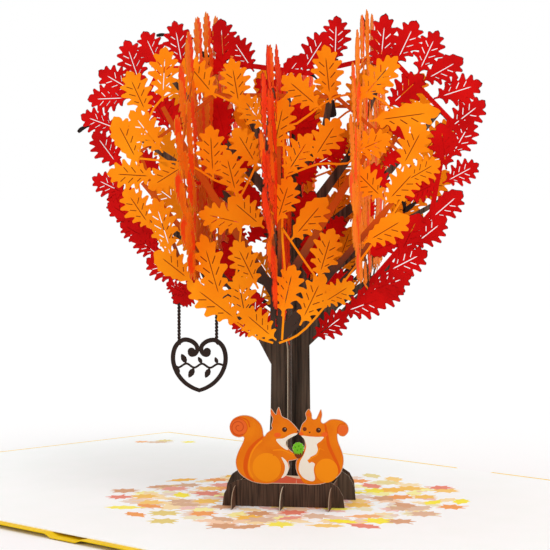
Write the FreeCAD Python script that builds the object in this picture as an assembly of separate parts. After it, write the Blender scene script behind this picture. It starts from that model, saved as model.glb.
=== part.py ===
import FreeCAD, Part

# Pop up card, opened flat: a yellow cover with a white liner, and a paper oak tree on its fold.
# The tree is a grid of upright sheets that cross each other through half slots. Facing sheets
# face the reader at the near right corner, and cross sheets stand at a right angle to them.
# Origin: on the fold, middle of the card, at the table. X across the card, Y along the fold, Z up.
# All sizes are in millimetres. A sheet is drawn flat as (u, z), with u to the right for someone
# who looks at its front, where its leaves are glued, and is then stood up.

import math
import os

Vector = FreeCAD.Vector
UP = Vector(0, 0, 1)
ORIGIN = Vector(0, 0, 0)

# Card: the panels rise a little toward the fold, which is a shallow gutter under the liner
panel_width = 178.0
card_length = 203.0
cover_thickness = 0.4
liner_thickness = 0.3
liner_border = 3.0
fold_flat_half_width = 6.0
fold_half_width = 9.0
crest_half_width = 34.0
panel_lift = 1.0

# Paper of the tree
sheet_thickness = 0.3
leaf_thickness = 0.3
slot_clearance = 0.1
join_tolerance = 0.002

# Grid of the tree: the turn of the facing sheets from the X axis, and the gaps between sheets
facing_turn = 36.87
crown_facing_gap = 35.0
crown_cross_gap = 27.5
root_facing_gap = 18.0
root_cross_gap = 16.5

# Heights at which the half slots of two crossing sheets meet
root_slot_height = 5.2
trunk_slot_height = 85.0
crown_slot_height = 112.0

# Paper kept between the end of a slot and what passes it to hold the sheet together
slot_cover = 6.0

# Trunk and roots
trunk_half_width = 7.0
trunk_top_half_width = 3.0
trunk_top = 118.0
flare_height = 30.0
root_top_share = 0.6
root_half_width = 23.0
root_height = 11.0
cross_root_half_width = 27.0
cross_root_height = 7.2
outer_root_half_width = 21.0
outer_root_height = 9.3
tab_length = 9.0
tab_place = 9.5
slit_clearance = 0.1

# Branches: limbs narrow from the trunk to their tips, and a twig runs along the rim
low_limb_width = 5.0
limb_width = 4.0
limb_tip_width = 1.4
stalk_width = 3.0
twig_width = 1.4

# Leaves: length comes from stem and tip, and width is a share of the length
leaf_width_share = 0.62
web_width = 2.4
ring_leaf_length = 16.5
ring_leaf_gap = 19.0

# Hanging sign
rope_width = 1.2
frame_width = 1.5
scroll_radius = 1.5
vine_width = 1.3

# Corners of a small disc, and straight pieces of a branch and of a root's round end
disc_corners = 8
branch_steps = 2
root_steps = 4

# The tree is drawn with the top of the liner at this height, and stands on the liner's real top
drawn_foot = 1.7
foot = panel_lift + cover_thickness + liner_thickness

cross_turn = facing_turn + 90.0
drawn_root_top = drawn_foot + max(root_height, cross_root_height, outer_root_height)
drawn_crown_top = 180.0
root_facing_places = (-root_facing_gap, 0.0, root_facing_gap)
root_cross_places = (-root_cross_gap, 0.0, root_cross_gap)


# Flat drawing

def polygon(points):
    """A face from its corners, in either order. Its front is toward -Y."""
    turns = sum(u * next_z - next_u * z for (u, z), (next_u, next_z) in zip(points, points[1:] + points[:1]))
    corners = [Vector(u, 0, z) for u, z in (points if turns > 0 else points[::-1])]
    return Part.Face(Part.makePolygon(corners + corners[:1]))


def disc(centre, radius):
    angles = [2 * math.pi * step / disc_corners for step in range(disc_corners)]
    u, z = centre
    return polygon([(u + radius * math.cos(angle), z + radius * math.sin(angle)) for angle in angles])


def curve_points(start, pull, end, steps):
    """Points on the curve that leaves start toward pull and arrives at end."""
    points = []
    for step in range(steps + 1):
        share = step / steps
        weights = ((1 - share) ** 2, 2 * share * (1 - share), share ** 2)
        points.append(tuple(sum(w * p[axis] for w, p in zip(weights, (start, pull, end))) for axis in (0, 1)))
    return points


def band(line, start_width, end_width):
    """A strip along a line of points, whose width changes evenly from start to end."""
    left, right = [], []
    last = len(line) - 1
    for index, (u, z) in enumerate(line):
        before, after = line[max(index - 1, 0)], line[min(index + 1, last)]
        run = math.hypot(after[0] - before[0], after[1] - before[1])
        half = (start_width + (end_width - start_width) * index / last) / 2
        across = ((before[1] - after[1]) / run * half, (after[0] - before[0]) / run * half)
        left.append((u + across[0], z + across[1]))
        right.append((u - across[0], z - across[1]))
    return polygon(left + right[::-1])


def branch(start, pull, end, start_width=limb_width, end_width=limb_tip_width):
    return band(curve_points(start, pull, end, branch_steps), start_width, end_width)


def oak_leaf(stem, tip):
    """A lobed leaf from stem to tip. Its side is given in (share of half width, share of length)."""
    side = ((0.72, 0.28), (0.44, 0.44), (1.0, 0.66))
    outline = ((0.0, 0.0),) + side + ((0.0, 1.0),) + tuple((-across, up) for across, up in side[::-1])
    along = (tip[0] - stem[0], tip[1] - stem[1])
    half = leaf_width_share / 2
    return polygon([(stem[0] + along[0] * up + along[1] * across * half,
                     stem[1] + along[1] * up - along[0] * across * half) for across, up in outline])


def oak_leaves(pairs):
    return [oak_leaf((u, z), (tip_u, tip_z)) for u, z, tip_u, tip_z in pairs]


def join(faces):
    """One flat outline from overlapping faces."""
    return faces[0].multiFuse(faces[1:], join_tolerance).removeSplitter()


def one_piece(sheet):
    """The sheet without the bits that its slots cut loose."""
    return max(sheet.Solids, key=lambda solid: solid.Volume)


# Standing sheets. In a flat sheet the front is toward -Y.

def thicken(face, thickness, back):
    """Gives a drawn face its thickness, with its back face at that distance in front of the sheet's plane."""
    sheet = face.extrude(Vector(0, -thickness, 0))
    sheet.translate(Vector(0, -back, 0))
    return sheet


def cut_slots(sheet, places, low, high):
    """Cuts a slot at each place for a crossing sheet and for the leaves on its front."""
    half = sheet_thickness / 2 + slot_clearance
    depth = 4 * (sheet_thickness + leaf_thickness)
    for left, right in places:
        box = Part.makeBox(right - left + 2 * half, depth, high - low)
        box.translate(Vector(left - half, -depth / 2, low))
        sheet = sheet.cut(box)
    return sheet


def cross_sheets(places, leaves):
    """Where a facing sheet meets the cross sheets at these places, whose front is to its right."""
    return [(place, place + leaves) for place in places]


def facing_sheets(places, leaves):
    """Where a cross sheet meets the facing sheets at these places, whose front is to its left."""
    return [(-place - leaves, -place) for place in places]


def stand(sheet, turn, offset):
    """Stands a drawn sheet on the liner, turned from the X axis and moved out along its front."""
    sheet = one_piece(sheet).copy()
    sheet.rotate(ORIGIN, UP, turn)
    angle = math.radians(turn)
    sheet.translate(Vector(math.sin(angle) * offset, -math.cos(angle) * offset, foot - drawn_foot))
    return sheet


# Card

def panel_height(distance):
    """Height of the underside of the cover at a distance from the fold."""
    if distance <= fold_flat_half_width:
        return 0.0
    if distance <= crest_half_width:
        return panel_lift
    return panel_lift * (panel_width - distance) / (panel_width - crest_half_width)


def folded_sheet(distances, bottom, thickness, length):
    """A sheet across both panels, from its distances to the fold and the height of its underside there."""
    half = list(zip(distances, (bottom + panel_height(distance) for distance in distances)))
    low = [Vector(-x, -length / 2, z) for x, z in half[::-1]] + [Vector(x, -length / 2, z) for x, z in half]
    high = [corner + UP * thickness for corner in low[::-1]]
    return Part.Face(Part.makePolygon(low + high + low[:1])).extrude(Vector(0, length, 0))


def make_cover():
    distances = (fold_flat_half_width, fold_half_width, crest_half_width, panel_width)
    return folded_sheet(distances, 0.0, cover_thickness, card_length)


def tongue(u, clearance):
    """The part of a root sheet that goes through the liner at u. The slit for it has some clearance."""
    length, thickness = tab_length + 2 * clearance, sheet_thickness + 2 * clearance
    box = Part.makeBox(length, thickness, liner_thickness)
    box.translate(Vector(u - length / 2, -thickness / 2, drawn_foot - liner_thickness))
    return box


def make_liner():
    liner = folded_sheet((crest_half_width, panel_width - liner_border), cover_thickness,
                         liner_thickness, card_length - 2 * liner_border)
    for turn, offset, place in outer_roots():
        liner = liner.cut(stand(tongue(place, slit_clearance), turn, offset))
    return liner


# Trunk and roots

def mirrored(right):
    """A symmetric outline from its right side, drawn from the bottom up."""
    return polygon(right + [(-u, z) for u, z in right[::-1]])


def root_face(half_width, height):
    """A root strip that stands on the liner, with round ends."""
    top = drawn_foot + height
    return mirrored(curve_points((half_width, drawn_foot), (half_width, top),
                                 (half_width * root_top_share, top), root_steps))


def trunk_face(half_width, height):
    """The trunk, which flares into roots at the bottom."""
    root_top = drawn_foot + height
    low = curve_points((half_width, drawn_foot), (half_width, root_top),
                       (half_width * root_top_share, root_top), root_steps)
    flare = curve_points(low[-1], (trunk_half_width, root_top),
                         (trunk_half_width, drawn_foot + flare_height), root_steps)
    top = [(trunk_half_width * 0.9, trunk_slot_height), (trunk_top_half_width, trunk_top)]
    return mirrored(low + flare[1:] + top)


def outer_roots():
    """Turn, distance from the middle and tongue place of the front, back, right and left root strip."""
    return ((facing_turn, root_facing_gap, tab_place), (facing_turn, -root_facing_gap, -tab_place),
            (cross_turn, root_cross_gap, -tab_place), (cross_turn, -root_cross_gap, tab_place))


def make_facing_root(offset, place):
    face = root_face(outer_root_half_width, outer_root_height)
    sheet = thicken(face, sheet_thickness, -sheet_thickness / 2)
    sheet = cut_slots(sheet, cross_sheets(root_cross_places, 0.0), 0.0, root_slot_height)
    return stand(sheet.fuse(tongue(place, 0.0)).removeSplitter(), facing_turn, offset)


def make_cross_root(offset, place):
    face = root_face(cross_root_half_width, cross_root_height)
    sheet = thicken(face, sheet_thickness, -sheet_thickness / 2)
    sheet = cut_slots(sheet, facing_sheets(root_facing_places, 0.0), root_slot_height, drawn_root_top)
    return stand(sheet.fuse(tongue(place, 0.0)).removeSplitter(), cross_turn, offset)


# Middle of the crown: the heart that faces the reader. Leaves are (stem u, stem z, tip u, tip z).

middle_rim = [(-5, 54), (-14, 62), (-27, 72), (-41, 74), (-49, 90), (-57, 104), (-62, 122), (-58, 140),
              (-46, 152), (-30, 155), (-16, 153), (-3, 146), (6, 150), (18, 156), (34, 156), (46, 147),
              (55, 134), (55, 118), (49, 102), (38, 86), (24, 73), (14, 65), (4, 54)]

middle_leaves = oak_leaves([
    (-53, 146, -58.5, 162), (-54.5, 143.5, -68, 151.5), (-46, 152, -52, 165), (-38, 152, -41, 168.5),
    (-23.5, 153, -24.5, 169), (-13, 151, -21, 163), (-57, 142, -72, 141.5), (-61, 131, -74.5, 136),
    (-61, 118, -70, 130), (-58, 108, -70.5, 114), (-55, 99, -65, 105), (-50, 92, -60.5, 98),
    (-46, 86, -56, 94), (-40, 78, -51, 85.5), (-37, 73, -44, 77), (-11, 60, -21, 63), (-13, 61.5, -12, 74),
    (-22.5, 126, -27, 143.5), (-43, 131, -50, 144), (-22, 113, -34, 106),
    (-20, 88, -18, 98), (-26, 74, -22, 88), (-4, 146, 4, 156), (4, 150, 13, 164),
    (15.5, 154, 16, 169.5), (31, 150, 33, 170), (36.5, 153, 43.5, 167.5), (44, 149, 51, 164),
    (46, 147, 59.5, 154.5), (50, 141, 66, 146), (54, 130, 67, 140), (55, 120, 63, 134), (54, 117, 52, 132.5),
    (53, 112, 65, 118.5), (48, 99, 59.5, 109), (42, 90, 54, 99.5), (33, 81, 47.5, 88.5), (26, 74, 42, 80),
    (18, 67, 34, 73), (8, 58, 20, 67), (38, 87, 45, 101.5), (34, 138, 46, 149), (51, 112, 40, 107),
    (2, 127, 5, 141), (8, 118, 19, 124), (10, 96, 6, 82), (38, 92, 27, 88)])

middle_webs = [
    band([(-23, 68), (-20, 88), (-21, 108), (-23, 126), (-22, 153)], web_width, web_width),
    band([(10, 61), (11, 84), (10, 96), (8, 118), (2, 128), (2, 148)], web_width, web_width),
    band([(38, 87), (39, 104), (34, 120), (34, 138), (32, 155)], web_width, web_width),
    band([(-62, 122), (-42, 120), (-43, 131), (-44, 152)], web_width, web_width),
    band([(27, 110), (39, 104), (51, 112), (55, 118)], web_width, web_width)]

middle_branches = [
    branch((-3, 47), (-12, 66), (-22, 74), low_limb_width, stalk_width),
    branch((-19, 72), (-31, 77), (-42, 72.5), stalk_width, stalk_width),
    branch((-1, 74), (-22, 84), (-55, 102)), branch((-2, 90), (-20, 108), (-60, 132)),
    branch((-2, 102), (-20, 122), (-45, 152)), branch((-1, 112), (-14, 130), (-22, 154)),
    branch((1, 112), (3, 130), (-2, 147)), branch((1, 110), (15, 125), (16, 155)),
    branch((2, 96), (24, 118), (34, 155)), branch((2, 88), (32, 108), (52, 137)),
    branch((2, 72), (24, 92), (52, 106)), branch((3, 56), (12, 70), (36, 84), low_limb_width)]

# Front and back of the crown: smaller hearts with the same leaves.

outer_rim = [(-1, 59), (-10, 63), (-30, 80), (-44, 102), (-46, 122), (-38, 140), (-20, 141),
             (2, 130), (20, 140), (36, 138), (45, 118), (40, 104), (26, 84), (10, 64), (1, 59)]

outer_leaves = oak_leaves([
    (-43, 134, -50, 149), (-38, 139, -37, 157), (-20, 140, -31, 153), (-12, 136, -15, 153),
    (-46, 118, -54.5, 134), (-38, 122, -49, 136), (-40, 114, -57, 115), (-42, 97, -51, 110),
    (-30, 118, -43, 110), (-35, 88, -41, 107), (-28, 79, -41, 89), (-11, 65, -30, 79), (-18, 71, -25, 95),
    (-10, 66, -13, 82), (0, 60, -12, 70), (-6, 77, -14, 93), (-4, 97, -16, 107), (-9, 98, -26, 102),
    (-13, 107, -17, 123), (-21, 113, -22, 131), (-6, 117, -14, 130), (-3, 129, -12, 141),
    (-1, 122, 3, 140), (15, 136, 2, 147), (18, 138, 16, 157), (3, 114, 12, 128), (12, 119, 21, 133),
    (0, 98, 5, 114), (5, 93, 17, 107), (2, 68, 6, 85), (8, 65, 16, 82),
    (14, 80, 19, 97), (15, 72, 26, 79), (27, 138, 40, 153), (31, 132, 54, 135), (41, 116, 49, 131),
    (42, 112, 54, 119), (24, 121, 38, 127), (36, 105, 47, 117), (36, 106, 25, 117), (29, 92, 44, 101)])

back_inner = oak_leaves([
    (-14, 82, -2, 94), (-12, 107, 0, 118), (-30, 118, -22, 132), (14, 80, 24, 94), (14, 118, 6, 132),
    (28, 124, 16, 134), (2, 97, 16, 108)])

outer_webs = [
    band([(-16, 68), (-13, 84), (-12, 107), (-21, 113), (-30, 118), (-46, 120)], web_width, web_width),
    band([(-12, 107), (-7, 117), (-2, 131)], web_width, web_width),
    band([(2, 60), (3, 80), (2, 97), (3, 114), (2, 131)], web_width, web_width),
    band([(2, 97), (14, 80), (20, 76)], web_width, web_width),
    band([(3, 114), (14, 118), (26, 120), (28, 141)], web_width, web_width),
    band([(26, 120), (36, 106), (42, 108)], web_width, web_width)]

slot_pass = crown_slot_height + slot_cover
outer_branches = [
    branch((0, 60), (-14, 76), (-45, 112), stalk_width), branch((0, 60), (14, 78), (44, 112), stalk_width),
    band([(0, 74), (-crown_cross_gap, slot_pass), (-38, 137)], stalk_width, limb_tip_width),
    band([(0, 74), (crown_cross_gap, slot_pass), (38, 136)], stalk_width, limb_tip_width),
    band([(0, 60), (0, 131)], limb_width, stalk_width)]


# Cross sheets: leaves stand along the rim, and more of them on the branches inside it.

def leaves_along(rim, centre):
    """Leaves at an even gap along a rim, that point away from the centre."""
    pairs = []
    walked = 0.0
    for (u, z), (next_u, next_z) in zip(rim, rim[1:]):
        run = math.hypot(next_u - u, next_z - z)
        while walked < run:
            at = (u + (next_u - u) * walked / run, z + (next_z - z) * walked / run)
            away = math.atan2(at[1] - centre[1], at[0] - centre[0])
            pairs.append((at[0], at[1], at[0] + ring_leaf_length * math.cos(away),
                          at[1] + ring_leaf_length * math.sin(away)))
            walked += ring_leaf_gap
        walked -= run
    return oak_leaves(pairs)


heart_rim = [(-4, 56), (-24, 68), (-42, 84), (-56, 104), (-62, 122), (-56, 138), (-44, 143), (-28, 140),
             (-14, 130), (0, 122), (14, 130), (28, 140), (44, 143), (56, 138), (62, 122), (56, 104),
             (42, 84), (24, 68), (4, 56)]
heart_webs = [band([(-5, 56.5), (5, 56.5)], web_width, web_width),
              band([(-24, 68), (-20, 92), (-28, 140)], web_width, web_width),
              band([(24, 68), (20, 92), (28, 140)], web_width, web_width),
              band([(-56, 104), (-20, 92), (-9, 74)], web_width, web_width),
              band([(56, 104), (20, 92), (9, 74)], web_width, web_width)]
heart_inner = oak_leaves([
    (-20, 80, -9, 93), (-21, 96, -11, 112), (-23, 106, -39, 120), (-34, 97, -46, 112),
    (20, 80, 9, 93), (21, 96, 11, 112), (23, 106, 39, 120), (34, 97, 46, 112)])
heart_branches = [
    branch((0, 52), (-16, 66), (-46, 88), low_limb_width),
    branch((0, 52), (16, 66), (46, 88), low_limb_width),
    branch((0, 70), (-24, 88), (-57, 106)), branch((0, 70), (24, 88), (57, 106)),
    branch((0, 84), (-30, 100), (-44, 142)), branch((0, 84), (30, 100), (44, 142)),
    branch((-3, 74), (-20, 100), (-22, 136)), branch((3, 74), (20, 100), (22, 136))]

side_rim = [(-8, 76), (-26, 80), (-42, 90), (-54, 106), (-56, 122), (-50, 138), (-36, 149), (-18, 154),
            (0, 155), (18, 154), (36, 149), (50, 138), (56, 122), (54, 106), (42, 90), (26, 80), (8, 76)]
web_pass = crown_slot_height - slot_cover
side_webs = [
    band([(-10, 76), (-10, 154)], web_width, web_width),
    band([(10, 76), (10, 154)], web_width, web_width),
    band([(-54, 106), (-crown_facing_gap, web_pass), (-10, 98), (10, 98), (crown_facing_gap, web_pass),
          (54, 106)], web_width, web_width)]
side_inner = oak_leaves([
    (-10, 88, -24, 98), (-10, 106, -22, 120), (-10, 126, -24, 138), (10, 88, 24, 98), (10, 106, 22, 120),
    (10, 126, 24, 138), (-30, web_pass - 3, -44, web_pass + 8), (30, web_pass - 3, 44, web_pass + 8)])
side_branches = [
    band([(-9, 78), (9, 78)], stalk_width, stalk_width), band([(0, 76), (0, 155)], limb_width, stalk_width),
    branch((0, 78), (-20, 90), (-54, 108), stalk_width), branch((0, 78), (20, 90), (54, 108), stalk_width)]


# Hanging sign: one cut-out of a heart frame, a vine across it and two ropes, drawn from its middle line.

sign_middle = -32.4
rope_places = ((-39.6, 56.2, 73.5), (-26.2, 56.8, 75.0))
lobe = [(0.0, 38.8), (5.2, 43.0), (8.9, 46.8), (10.2, 51.0), (9.0, 55.2), (5.0, 57.9), (1.6, 56.6),
        (0.2, 54.2), (1.0, 52.0), (2.8, 51.4)]
scroll_centre = (2.8, 52.9)
vine = [(-9.8, 48.6), (-7.4, 47.2), (-4.6, 48.6), (-1.8, 47.2), (1.0, 48.6), (3.8, 47.2), (6.6, 48.6),
        (9.6, 47.8)]
vine_leaves = [(-4.6, 48.6, -6.4, 52.0), (-1.8, 47.2, -3.8, 43.6), (3.8, 47.2, 2.2, 43.6)]


def sign_points(points, side):
    return [(sign_middle + side * u, z) for u, z in points]


def make_sign():
    faces = [disc(sign_points([scroll_centre], side)[0], scroll_radius) for side in (-1, 1)]
    faces += [band(sign_points(lobe, side), frame_width, frame_width) for side in (-1, 1)]
    faces += [band([(u, low), (u, high)], rope_width, rope_width) for u, low, high in rope_places]
    faces.append(band(sign_points(vine, 1), vine_width, vine_width))
    for u, z, tip_u, tip_z in vine_leaves:
        faces.append(oak_leaf((sign_middle + u, z), (sign_middle + tip_u, tip_z)))
    behind = -sheet_thickness / 2 - leaf_thickness
    return stand(thicken(join(faces), leaf_thickness, behind), facing_turn, 0.0)


# Squirrels: one cut-out of two of them and an acorn, glued on the front root strip.

left_squirrel = [(-3.7, 9.7), (0.6, 12.5), (2.2, 15.3), (1.7, 17.4), (5.4, 18.5), (4.6, 19.8), (2.5, 21.1),
                 (1.4, 24.6), (4.3, 26.4), (5.4, 27.6), (3.7, 30.0), (1.8, 31.7), (-0.4, 32.9), (-1.4, 35.9),
                 (-2.2, 33.4), (-4.2, 35.4), (-4.8, 31.6), (-5.8, 29.0), (-6.6, 25.8), (-7.4, 28.8),
                 (-9.6, 31.7), (-14.0, 32.8), (-17.0, 31.4), (-18.2, 28.5), (-17.2, 26.0), (-15.1, 25.0),
                 (-13.3, 24.6), (-15.7, 19.9), (-16.4, 16.5), (-15.4, 13.4), (-13.0, 11.3), (-9.3, 9.7)]
right_squirrel = [(7.4, 9.7), (12.3, 9.7), (16.7, 11.1), (19.4, 13.3), (20.5, 16.0), (20.7, 18.8),
                  (20.0, 21.5), (18.7, 25.0), (20.4, 26.3), (22.0, 27.6), (22.3, 29.2), (21.4, 30.9),
                  (19.1, 32.0), (16.2, 32.2), (14.9, 29.6), (14.2, 31.2), (12.9, 35.4), (11.6, 32.5),
                  (10.0, 32.5), (8.8, 35.4), (7.6, 32.0), (6.2, 30.2), (5.9, 27.8), (7.3, 25.6),
                  (7.6, 23.0), (6.8, 20.4), (4.4, 18.9), (4.3, 17.2), (4.5, 14.7), (5.5, 12.3)]
acorn_cap = (5.2, 22.1)
acorn_radius = 1.9
acorn_tip = [(3.6, 22.0), (6.8, 22.0), (6.6, 19.6), (5.6, 18.2), (4.2, 19.4)]
ground_strip = [(-9.0, 11.2), (13.0, 11.2)]
ground_width = 3.0


def make_squirrels():
    faces = [polygon(left_squirrel), polygon(right_squirrel), disc(acorn_cap, acorn_radius),
             polygon(acorn_tip), band(ground_strip, ground_width, ground_width)]
    return stand(thicken(join(faces), leaf_thickness, sheet_thickness / 2), facing_turn, root_facing_gap)


# Crown and trunk sheets

def facing_flat(faces, thickness, back, middle_slot_height):
    """A facing sheet or its leaves, slotted from below for the cross sheets of the crown."""
    sheet = thicken(join(faces), thickness, back)
    outer = (-crown_cross_gap, crown_cross_gap)
    sheet = cut_slots(sheet, cross_sheets(outer, leaf_thickness), 0.0, crown_slot_height)
    return cut_slots(sheet, cross_sheets((0.0,), leaf_thickness), 0.0, middle_slot_height)


def cross_flat(faces, thickness, back, middle_slot_height):
    """A cross sheet or its leaves, slotted from above for the facing sheets of the crown."""
    sheet = thicken(join(faces), thickness, back)
    outer = (-crown_facing_gap, crown_facing_gap)
    sheet = cut_slots(sheet, facing_sheets(outer, leaf_thickness), crown_slot_height, drawn_crown_top)
    return cut_slots(sheet, facing_sheets((0.0,), leaf_thickness), middle_slot_height, drawn_crown_top)


def make_crown_sheet(flat, rim, branches, turn, offset):
    faces = [band(rim[::2], twig_width, twig_width)] + branches
    return stand(flat(faces, sheet_thickness, -sheet_thickness / 2, crown_slot_height), turn, offset)


def make_leaf_sheet(flat, rim, webs, leaves, middle_slot_height, turn, offset):
    faces = [band(rim, web_width, web_width)] + webs + leaves
    return stand(flat(faces, leaf_thickness, sheet_thickness / 2, middle_slot_height), turn, offset)


def make_trunk_sheet():
    faces = [trunk_face(root_half_width, root_height), band(middle_rim[::2], twig_width, twig_width)]
    sheet = facing_flat(faces + middle_branches, sheet_thickness, -sheet_thickness / 2, trunk_slot_height)
    roots = (-root_cross_gap, root_cross_gap)
    return stand(cut_slots(sheet, cross_sheets(roots, 0.0), 0.0, root_slot_height), facing_turn, 0.0)


def make_cross_trunk_sheet():
    faces = [trunk_face(cross_root_half_width, cross_root_height)] + heart_branches
    faces.append(band(heart_rim[::2], twig_width, twig_width))
    sheet = cross_flat(faces, sheet_thickness, -sheet_thickness / 2, trunk_slot_height)
    roots = facing_sheets((-root_facing_gap, root_facing_gap), 0.0)
    return stand(cut_slots(sheet, roots, root_slot_height, drawn_root_top), cross_turn, 0.0)


heart_leaves = leaves_along(heart_rim[1:-1], (0.0, 60.0)) + heart_inner
side_leaves = leaves_along(side_rim[1:-1], (0.0, 72.0)) + side_inner
back_leaves = leaves_along(outer_rim[2:-2], (0.0, 55.0)) + back_inner

nodes = {
    "outer_cover": make_cover(),
    "liner": make_liner(),
    "trunk_sheet": make_trunk_sheet(),
    "middle_leaf_sheet": make_leaf_sheet(facing_flat, middle_rim, middle_webs, middle_leaves,
                                         trunk_slot_height, facing_turn, 0.0),
    "cross_trunk_sheet": make_cross_trunk_sheet(),
    "cross_leaf_sheet": make_leaf_sheet(cross_flat, heart_rim, heart_webs, heart_leaves,
                                        trunk_slot_height, cross_turn, 0.0),
    "squirrel_sheet": make_squirrels(),
    "hanging_sign": make_sign(),
}
for name, offset, leaves in (("front", crown_facing_gap, outer_leaves),
                             ("back", -crown_facing_gap, back_leaves)):
    nodes[name + "_branch_sheet"] = make_crown_sheet(facing_flat, outer_rim, outer_branches,
                                                     facing_turn, offset)
    nodes[name + "_leaf_sheet"] = make_leaf_sheet(facing_flat, outer_rim, outer_webs, leaves,
                                                  crown_slot_height, facing_turn, offset)
for name, offset in (("right", crown_cross_gap), ("left", -crown_cross_gap)):
    nodes[name + "_branch_sheet"] = make_crown_sheet(cross_flat, side_rim, side_branches,
                                                     cross_turn, offset)
    nodes[name + "_leaf_sheet"] = make_leaf_sheet(cross_flat, side_rim, side_webs, side_leaves,
                                                  crown_slot_height, cross_turn, offset)
for name, (turn, offset, place) in zip(("front", "back", "right", "left"), outer_roots()):
    make_root = make_facing_root if turn == facing_turn else make_cross_root
    nodes[name + "_root_sheet"] = make_root(offset, place)

os.makedirs("parts", exist_ok=True)
for name, shape in nodes.items():
    shape.exportStep("parts/" + name + ".step")
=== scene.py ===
import math
import random

import bmesh
import bpy
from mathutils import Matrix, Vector
from mathutils.geometry import tessellate_polygon


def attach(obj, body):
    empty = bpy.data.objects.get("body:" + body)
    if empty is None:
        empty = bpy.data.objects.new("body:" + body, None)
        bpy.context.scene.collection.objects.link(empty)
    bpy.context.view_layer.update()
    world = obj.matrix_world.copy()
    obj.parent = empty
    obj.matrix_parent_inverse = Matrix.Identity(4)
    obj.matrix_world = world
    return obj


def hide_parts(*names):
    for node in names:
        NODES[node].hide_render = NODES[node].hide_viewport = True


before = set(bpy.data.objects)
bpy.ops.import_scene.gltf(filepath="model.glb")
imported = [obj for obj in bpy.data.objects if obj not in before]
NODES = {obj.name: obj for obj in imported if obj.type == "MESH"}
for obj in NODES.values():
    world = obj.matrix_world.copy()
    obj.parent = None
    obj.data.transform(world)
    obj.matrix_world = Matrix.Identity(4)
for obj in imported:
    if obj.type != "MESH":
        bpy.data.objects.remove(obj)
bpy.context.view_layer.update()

MM = 0.001

# The tree's grid, as in the part: directions along and out of the facing sheets, in the row frame
TURN = math.radians(36.87)
ALONG = Vector((math.cos(TURN), math.sin(TURN), 0))
OUT = Vector((math.sin(TURN), -math.cos(TURN), 0))
FACING_GAP, CROSS_GAP, ROOT_GAP = 35.0, 27.5, 18.0

# Thickness of the brown sheets and of the leaf sheets glued to them, and where a leaf sheet lies
SHEET, LEAF = 0.3, 0.3
LEAF_BACK, LEAF_FRONT = SHEET / 2, SHEET / 2 + LEAF

# The liner's top is level up to LEVEL_REACH from the fold, and then falls 1 mm in FALL_RUN
LINER_TOP, LEVEL_REACH, FALL_RUN = 1.7, 34, 144


def facing(offset):
    """Places drawn points (u, z, depth in front of the sheet's plane) on a facing sheet."""
    return lambda u, z, depth: (ALONG * u + OUT * (offset + depth) + Vector((0, 0, z))) * MM


def cross(offset):
    """The same on a cross sheet, where depth counts toward the right."""
    return lambda u, z, depth: (-OUT * u + ALONG * (offset + depth) + Vector((0, 0, z))) * MM


def flat(u, v, depth):
    """Places drawn points on the liner: u toward the right of the photograph, v away from it."""
    centre = ALONG * u - OUT * v
    fall = max(0.0, (abs(centre.x) - LEVEL_REACH) / FALL_RUN)
    return (centre + Vector((0, 0, LINER_TOP - fall + depth))) * MM


# Materials

PAPER_SPECULAR = 0.12
NOISE_DETAIL, NOISE_STOPS = 3.0, (0.35, 0.65)
# A face whose normal keeps less than this of the sheet's own is a cut edge
EDGE_FACING = 0.7
# Height in metres from which the trunk's edges have the crown's colour, and the heights between
# which the outer branches turn from brown to a dark orange that is painted shade, the orange of
# leaves in shade
CROWN_START, SHADE_ORANGE_START, SHADE_ORANGE_END = 0.058, 0.082, 0.100


def linear(rgb):
    """A display colour, 0 to 255, in the linear values that a shader takes."""
    shares = [c / 255 for c in rgb]
    values = [c / 12.92 if c <= 0.04045 else ((c + 0.055) / 1.055) ** 2.4 for c in shares]
    return tuple(values) + (1.0,)


def paper(name, rgb, rough=0.75):
    """Plain paper in one colour."""
    mat = bpy.data.materials.new(name)
    mat.use_nodes = True
    shader = mat.node_tree.nodes["Principled BSDF"]
    shader.inputs["Base Color"].default_value = linear(rgb)
    shader.inputs["Roughness"].default_value = rough
    shader.inputs["Specular IOR Level"].default_value = PAPER_SPECULAR
    return mat


def mottled(name, dark, light, scale, stretch=(1, 1, 1), rough=0.75):
    """Paper whose print runs between two colours in a fine noise."""
    mat = paper(name, light, rough)
    tree = mat.node_tree
    where = tree.nodes.new("ShaderNodeTexCoord")
    mapping = tree.nodes.new("ShaderNodeMapping")
    mapping.inputs["Scale"].default_value = stretch
    noise = tree.nodes.new("ShaderNodeTexNoise")
    noise.inputs["Scale"].default_value = scale
    noise.inputs["Detail"].default_value = NOISE_DETAIL
    ramp = tree.nodes.new("ShaderNodeValToRGB")
    stops = ramp.color_ramp.elements
    stops[0].position, stops[1].position = NOISE_STOPS
    stops[0].color, stops[1].color = linear(dark), linear(light)
    tree.links.new(where.outputs["Object"], mapping.inputs["Vector"])
    tree.links.new(mapping.outputs["Vector"], noise.inputs["Vector"])
    tree.links.new(noise.outputs["Fac"], ramp.inputs["Fac"])
    tree.links.new(ramp.outputs["Color"], tree.nodes["Principled BSDF"].inputs["Base Color"])
    return mat


def rising(name, low_rgb, high_rgb, start, end):
    """Paper whose colour changes between two heights, in metres."""
    mat = paper(name, high_rgb)
    tree = mat.node_tree
    where = tree.nodes.new("ShaderNodeTexCoord")
    split = tree.nodes.new("ShaderNodeSeparateXYZ")
    share = tree.nodes.new("ShaderNodeMapRange")
    share.inputs["From Min"].default_value, share.inputs["From Max"].default_value = start, end
    mix = tree.nodes.new("ShaderNodeMix")
    mix.data_type = "RGBA"
    mix.inputs["A"].default_value = linear(low_rgb)
    mix.inputs["B"].default_value = linear(high_rgb)
    tree.links.new(where.outputs["Object"], split.inputs["Vector"])
    tree.links.new(split.outputs["Z"], share.inputs["Value"])
    tree.links.new(share.outputs["Result"], mix.inputs["Factor"])
    tree.links.new(mix.outputs["Result"], tree.nodes["Principled BSDF"].inputs["Base Color"])
    return mat


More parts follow.
